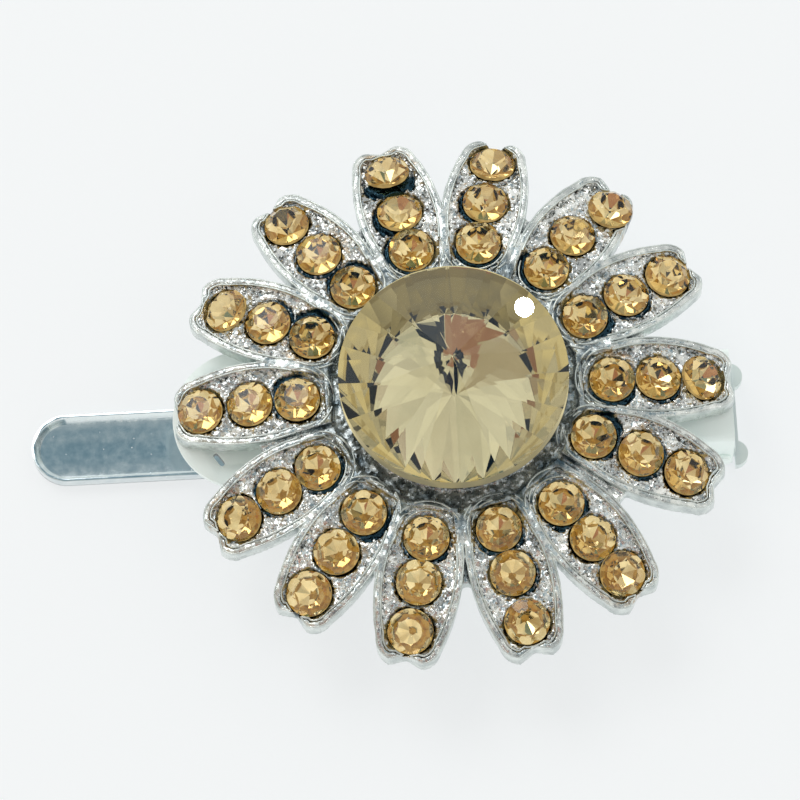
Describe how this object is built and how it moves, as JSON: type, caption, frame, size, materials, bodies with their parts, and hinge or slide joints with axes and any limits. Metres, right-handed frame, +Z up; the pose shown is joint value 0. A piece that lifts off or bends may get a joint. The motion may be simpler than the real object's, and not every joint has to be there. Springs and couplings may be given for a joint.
{
  "type": "rhinestone flower hair barrette",
  "caption": "Cast silver-coloured flower set with round stones on a sprung, hinged hair clip with a long round-ended blade.",
  "frame": {"origin": "on the flat underside of the blade, below the axis of the flower", "axes": "+X along the clip from the blade's free end towards the hinge, +Z up out of the flower's face"},
  "size_m": [0.0514, 0.0394, 0.0153],
  "materials": {
    "cast_metal": "bright silver-coloured plating over a pebbled casting, dark in the recesses",
    "clip_steel": "bright plated sheet steel",
    "spring_steel": "drawn spring wire",
    "centre_glass": "pale champagne glass, foil-backed, faceted",
    "stone_glass": "light topaz glass, foil-backed, faceted"
  },
  "bodies": {
    "blade_side": {"blade": "clip_steel", "spring": "spring_steel"},
    "flower_side": {"back_plate": "clip_steel", "centre_stone": "centre_glass", "flower_casting": "cast_metal", "hinge_pin": "clip_steel", "stone_01_inner": "stone_glass", "stone_01_middle": "stone_glass", "stone_01_outer": "stone_glass", "stone_02_inner": "stone_glass", "stone_02_middle": "stone_glass", "stone_02_outer": "stone_glass", "stone_03_inner": "stone_glass", "stone_03_middle": "stone_glass", "stone_03_outer": "stone_glass", "stone_04_inner": "stone_glass", "stone_04_middle": "stone_glass", "stone_04_outer": "stone_glass", "stone_05_inner": "stone_glass", "stone_05_middle": "stone_glass", "stone_05_outer": "stone_glass", "stone_06_inner": "stone_glass", "stone_06_middle": "stone_glass", "stone_06_outer": "stone_glass", "stone_07_inner": "stone_glass", "stone_07_middle": "stone_glass", "stone_07_outer": "stone_glass", "stone_08_inner": "stone_glass", "stone_08_middle": "stone_glass", "stone_08_outer": "stone_glass", "stone_09_inner": "stone_glass", "stone_09_middle": "stone_glass", "stone_09_outer": "stone_glass", "stone_10_inner": "stone_glass", "stone_10_middle": "stone_glass", "stone_10_outer": "stone_glass", "stone_11_inner": "stone_glass", "stone_11_middle": "stone_glass", "stone_11_outer": "stone_glass", "stone_12_inner": "stone_glass", "stone_12_middle": "stone_glass", "stone_12_outer": "stone_glass", "stone_13_inner": "stone_glass", "stone_13_middle": "stone_glass", "stone_13_outer": "stone_glass", "stone_14_inner": "stone_glass", "stone_14_middle": "stone_glass", "stone_14_outer": "stone_glass"}
  },
  "joints": [
    {"name": "clip_hinge", "type": "hinge", "parent": "blade_side", "child": "flower_side", "pos_m": [0.019, -0.0002, 0.0015], "axis": [0, 1, 0], "range_deg": [0, 50], "stiffness_Nm_per_rad": 0.01, "springref_deg": -34.38}
  ]
}
